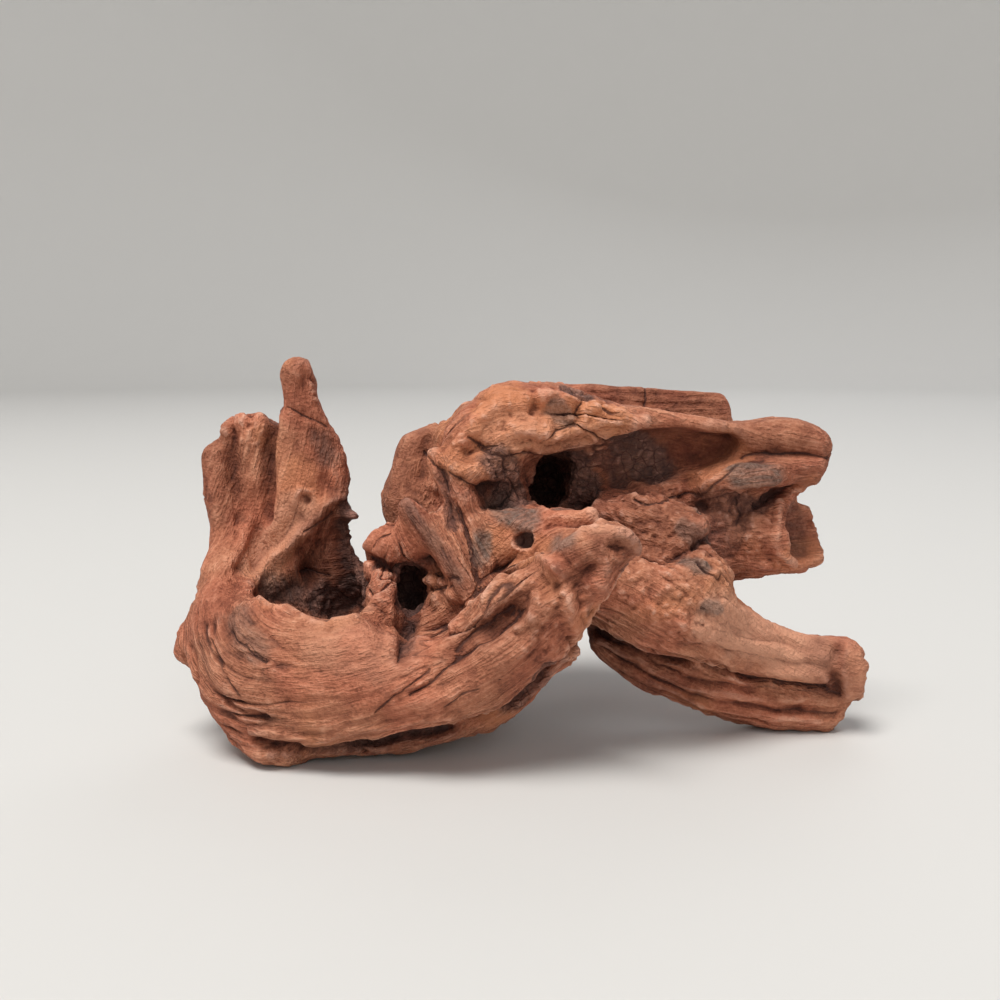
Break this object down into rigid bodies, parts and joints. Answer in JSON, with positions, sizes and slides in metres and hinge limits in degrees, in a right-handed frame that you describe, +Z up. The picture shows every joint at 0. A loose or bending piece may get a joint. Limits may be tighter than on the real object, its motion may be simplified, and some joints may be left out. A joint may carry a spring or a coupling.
{
  "type": "aquarium driftwood",
  "caption": "Weathered root burl for an aquarium, with an upright fin, a bowl, an arched limb, a cave and a splayed leg, standing on worn feet.",
  "frame": {"origin": "middle of the bounding box, on the surface that the feet stand on", "axes": "+X along the wood from the upright fin to the splayed leg, +Y away from the front that the picture shows, +Z up"},
  "size_m": [0.2, 0.0966, 0.109],
  "materials": {
    "wood": "matt weathered red-brown wood with dark cracked hollows and grey patches"
  },
  "bodies": {
    "root": {"driftwood": "wood"}
  },
  "joints": []
}
